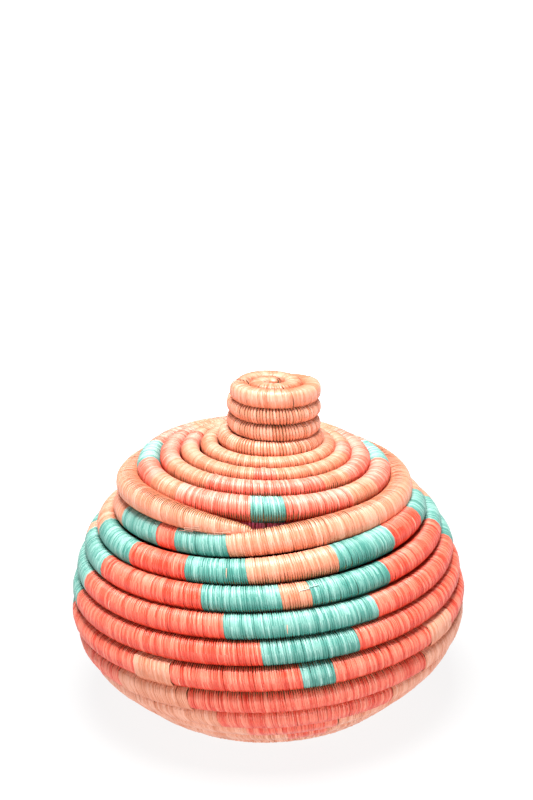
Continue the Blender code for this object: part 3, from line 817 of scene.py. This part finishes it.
LID_SLANT = 0.12
LID_SEED = 20
KNOB_TURNS = 4.0  # the coil's turns outside the knob
KNOB_SPACING = 0.00122
TOP_DEPTH = 0.0048  # the knob's top ends this far below its highest point
lid_strand = strand_mesh("lid_strand", width=0.00136, crown=0.060, pinch=0.70)
knob_strand = strand_mesh("knob_strand", width=0.00150, crown=0.10, pinch=0.60)
top_strand = strand_mesh(
    "top_strand", width=0.00150, crown=0.04, pinch=0.0, squareness=4.0, flatness=0.90
)
knob_first = int(np.argmin(abs(LID_END - ONE_TURN * KNOB_TURNS - lid_azimuths)))
lid_heights = lid_coil[0][:, 2]
knob_top = int(np.argmax(lid_heights < lid_heights.max() - TOP_DEPTH))
lid_runs = dye_runs(lid_azimuths, lid_dye)
natural_runs = [
    (max(first, knob_first), last) for first, last in lid_runs["natural"] if last > knob_first
]
LID_PIECES = (
    # name, runs, dye, strand, spacing, and what it stands for
    ("lid_coral_raffia", lid_runs["coral"], PAINTED_HIGHLIGHT_CORAL, lid_strand, STRAND_SPACING,
     "lid_edge_raffia_wrap"),
    ("lid_teal_raffia", lid_runs["teal"], PAINTED_HIGHLIGHT_TEAL, lid_strand, STRAND_SPACING, None),
    ("lid_natural_raffia", natural_runs, NATURAL, lid_strand, STRAND_SPACING,
     "lid_crown_raffia_wrap"),
    ("knob_raffia", [(knob_top, knob_first)], NATURAL, knob_strand, KNOB_SPACING,
     "lid_knob_raffia_wrap"),
    ("knob_top_raffia", [(0, knob_top)], NATURAL, top_strand, STRAND_SPACING, None),
)
for seed, (name, runs, dye, strand, spacing, solid) in enumerate(LID_PIECES, LID_SEED):
    piece = wrap(name, lid_coil, runs, dye, strand, seed, slant=LID_SLANT, spacing=spacing)
    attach(piece, "lid")
    if solid:
        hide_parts(solid)

# The very start of the coil, folded over on itself and wrapped flat, is the small raffia
# button that closes the middle of the knob's top.

BUTTON_RADIUS = 0.0030
BUTTON_FLATNESS = 0.55
BUTTON_LIFT = 0.0012
BUTTON_TONE = 0.7


def toned_all_over(mesh, tone):
    """One tone of raffia for a whole piece."""
    shade = mesh.attributes.new("shade", "FLOAT", "POINT")
    shade.data.foreach_set("value", np.full(len(mesh.vertices), tone, np.float32))


button_mesh = bpy.data.meshes.new("knob_button_raffia")
shaper = bmesh.new()
shaper.loops.layers.uv.new("UVMap")
bmesh.ops.create_uvsphere(
    shaper, u_segments=24, v_segments=12, radius=BUTTON_RADIUS, calc_uvs=True
)
crown_way = Vector(LID_LEAN @ Vector((0, 0, 1)))
first_half_turn = lid_coil[0][: POINTS_PER_TURN // 2]
middle = Vector(first_half_turn.mean(axis=0)) + crown_way * BUTTON_LIFT
flattened = Matrix.Diagonal((1.0, 1.0, BUTTON_FLATNESS, 1.0))
shaper.transform(Matrix.Translation(middle) @ LID_LEAN.to_4x4() @ flattened)
shaper.to_mesh(button_mesh)
shaper.free()
button_mesh.shade_smooth()
button_mesh.materials.append(NATURAL)
toned_all_over(button_mesh, BUTTON_TONE)
button = placed("knob_button_raffia", button_mesh)
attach(button, "lid")

# The ring under the lid, which keeps it in the mouth: a single turn of thin coil, wrapped
# loosely in bright pink raffia and sewn to the underside of the lid's outer row. Its pink is
# painted lighter than the raffia's own, as painted light where the lid's outer row shades it.

RING_RADIUS = 0.0490
RING_DROP = -0.0080
RING_COIL = 0.0046  # its own radius
RING_POINTS = 180
RING_SEED = 31
RING_SPACING = 0.0014
RING_LOOSENESS = 0.10
# All three pinks have full red: painted light that lifts the ring out of the lid's shadow
PINK_PAINTED_LIGHTER = raffia("pink_dyed_raffia", (1.0, 0.16, 0.42), (1.0, 0.40, 0.60), (1.0, 0.06, 0.24))
ring_reach = math.pi - math.radians(0.2)
ring_azimuths = np.linspace(-ring_reach, ring_reach, RING_POINTS)
ring_coil = on_the_body(
    (
        np.array([around(a, RING_RADIUS, RING_DROP) for a in ring_azimuths]),
        np.array([around(a, 1.0, 0.0) for a in ring_azimuths]),
        np.full(RING_POINTS, RING_COIL),
    )
)
ring_core = grass_core("ring_grass_bundle", ring_coil)
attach(ring_core, "lid")
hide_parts("lid_ring_grass_core")
ring = wrap(
    "ring_raffia",
    ring_coil,
    [(0, RING_POINTS - 1)],
    PINK_PAINTED_LIGHTER,
    lid_strand,
    RING_SEED,
    loose=RING_LOOSENESS,
    spacing=RING_SPACING,
)
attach(ring, "lid")
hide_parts("lid_ring_raffia_wrap")

# The single strands have served their turn
for model in (body_strand, flat_strand, lid_strand, knob_strand, top_strand):
    bpy.data.objects.remove(model)

# Loose fibres: ends that slipped out of the wrapping, most of them where the coil's tail was
# sewn down, a few straw-coloured ones between the dyed strands, and a thin teal thread.

FIBRE_POINTS = 9
FIBRE_ENDS = (1, 1, 1, 1, 1, 1, 0.9, 0.7, 0.3)  # each fibre thins towards its loose end
FIBRE_SIDES = 5
FIBRE_TONE = 1.6
FINE = 0.00016  # radius
COARSE = 0.00020
RESTING = 0.00015  # a loose fibre starts this far above the strands
TAIL_FIBRES = 9


def stray(coil, azimuths, start, turn, degrees, lift):
    """Points of a loose fibre: from this azimuth, over this much of the coil's round."""
    places, facings, radii = coil
    points = []
    for share in np.linspace(0, 1, FIBRE_POINTS):
        i = int(np.argmin(abs(azimuths - math.radians(start + degrees * share))))
        i = min(max(i, 1), len(places) - 2)
        up = np.cross(facings[i], places[i + 1] - places[i - 1])
        up /= np.linalg.norm(up)
        angle = turn[0] + (turn[1] - turn[0]) * share
        reach = radii[i] + RESTING + lift * share**2
        points.append(places[i] + reach * (math.cos(angle) * facings[i] + math.sin(angle) * up))
    return points


def stray_fibres(name, body, coil, azimuths, fibres, thickness, dye):
    """A group of loose fibres on one coil; a fibre has a start, turn, run and lift."""
    points = [point for fibre in fibres for point in stray(coil, azimuths, *fibre)]
    facings = np.tile([0.0, 0.0, 1.0], (len(points), 1))
    line = (np.array(points), facings, np.tile(FIBRE_ENDS, len(fibres)) * thickness)
    starts = range(0, len(points), FIBRE_POINTS)
    path = path_mesh(name, line, [(i, i + FIBRE_POINTS - 1) for i in starts])
    made = grown(path, bundle, {"Share": 1.0, "Sides": FIBRE_SIDES, "Grass": dye})
    toned_all_over(made.data, FIBRE_TONE)
    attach(made, body)


rng = np.random.default_rng(11)
# azimuth in degrees, the angles round the coil that it runs between, its run and its lift
tail_fibres = [
    (start, (high, high - 0.7 - 0.3 * chance), -4 - 7 * chance, 0.0004 + 0.0014 * chance)
    for start, high, chance in zip(
        rng.uniform(-27, -4, TAIL_FIBRES),
        rng.uniform(-0.5, 0.2, TAIL_FIBRES),
        rng.uniform(0, 1, TAIL_FIBRES),
    )
]
straw_fibres = [
    (place - 360 * row, (0.0, -0.7), 0.5, 0.0001)
    for place, row in ((-13.5, 2), (4.0, 4), (-26.0, 6), (-52.0, 4), (60.0, 2))
]
teal_thread = [(9.0 - 360 * 3, (0.1, 0.5), 7.0, 0.0004)]
lid_fibres = [
    (-2.0 - 360 * 2, (0.9, -0.6), 4.0, 0.0008),
    (-31.0 - 360 * 1, (1.3, -0.7), 5.0, 0.0010),
]
for name, found, thickness, dye in (
    ("body_loose_fibres", tail_fibres, FINE, NATURAL),
    ("body_straw_fibres", straw_fibres, COARSE, NATURAL),
    ("body_teal_thread", teal_thread, COARSE, TEAL),
):
    stray_fibres(name, "body", body_coil, body_azimuths, found, thickness, dye)
stray_fibres("lid_loose_fibres", "lid", lid_coil, lid_azimuths, lid_fibres, FINE, NATURAL)

# The room: a floor that glows white, painted light that grows stronger away from the basket
# and lights it from around and below, so that only a soft shadow shows near it, a large soft
# panel above, a weak one to the left and a small one low in front.

FLOOR_HALF = 12
ROOM_STRENGTH = 0.13
LIT_POINT = (0.0, 0.0, 0.06)

bpy.context.scene.view_settings.view_transform = "Standard"
paper, tree, shader = new_material(
    "white_paper",
    {"Base Color": (0.055, 0.055, 0.055, 1), "Roughness": 0.7, "Emission Color": (1, 1, 1, 1)},
)
# The floor's glow is painted light: weaker near the basket, so that its shadow shows, and stronger
# further off
place = node(tree, "ShaderNodeTexCoord")
away = node(tree, "ShaderNodeVectorMath", operation="LENGTH")
glow = node(
    tree,
    "ShaderNodeMapRange",
    {"From Min": 0.10, "From Max": 0.50, "To Min": 0.885, "To Max": 1.60},
)
tree.links.new(place.outputs["Object"], away.inputs[0])
tree.links.new(away.outputs["Value"], glow.inputs["Value"])
tree.links.new(glow.outputs["Result"], shader.inputs["Emission Strength"])
floor_mesh = bpy.data.meshes.new("pale_floor")
floor_corners = [
    (x * FLOOR_HALF, y * FLOOR_HALF, 0) for x, y in ((-1, -1), (1, -1), (1, 1), (-1, 1))
]
floor_mesh.from_pydata(floor_corners, [], [(0, 1, 2, 3)])
floor_mesh.materials.append(paper)
placed("pale_floor", floor_mesh)

world = bpy.data.worlds.new("white_room")
world.use_nodes = True
background = world.node_tree.nodes["Background"]
background.inputs["Color"].default_value = (1.0, 1.0, 1.0, 1)
background.inputs["Strength"].default_value = ROOM_STRENGTH
bpy.context.scene.world = world

for name, place, size, power in (
    ("top_panel", (-0.02, -0.14, 1.2), 0.5, 29),
    ("left_panel", (-1.0, -0.9, 0.9), 0.6, 1.5),
    ("low_panel", (0.15, -1.25, 0.16), 0.28, 5.5),
):
    light = bpy.data.lights.new(name, "AREA")
    light.shape = "SQUARE"
    light.size = size
    light.energy = power
    made = placed(name, light)
    way = Vector(np.array(LIT_POINT) - np.array(place))
    made.location = place
    made.rotation_euler = way.to_track_quat("-Z", "Y").to_euler()

# The camera looks down on the basket from the front, about 0.65 m away, through a long lens,
# and is turned a little on its own axis.

CAMERA_PLACE = (0.00218, -0.5941, 0.3298)
CAMERA_PITCH = math.radians(17.82)  # below level
CAMERA_ROLL = -0.033

camera_data = bpy.data.cameras.new("camera")
camera_data.sensor_fit = "HORIZONTAL"
camera_data.sensor_width = 36.0
camera_data.lens = 95.0
camera = placed("camera", camera_data)
pitch = Matrix.Rotation(math.pi / 2 - CAMERA_PITCH, 4, "X")
roll = Matrix.Rotation(CAMERA_ROLL, 4, "Z")
camera.matrix_world = Matrix.Translation(CAMERA_PLACE) @ pitch @ roll
bpy.context.scene.camera = camera
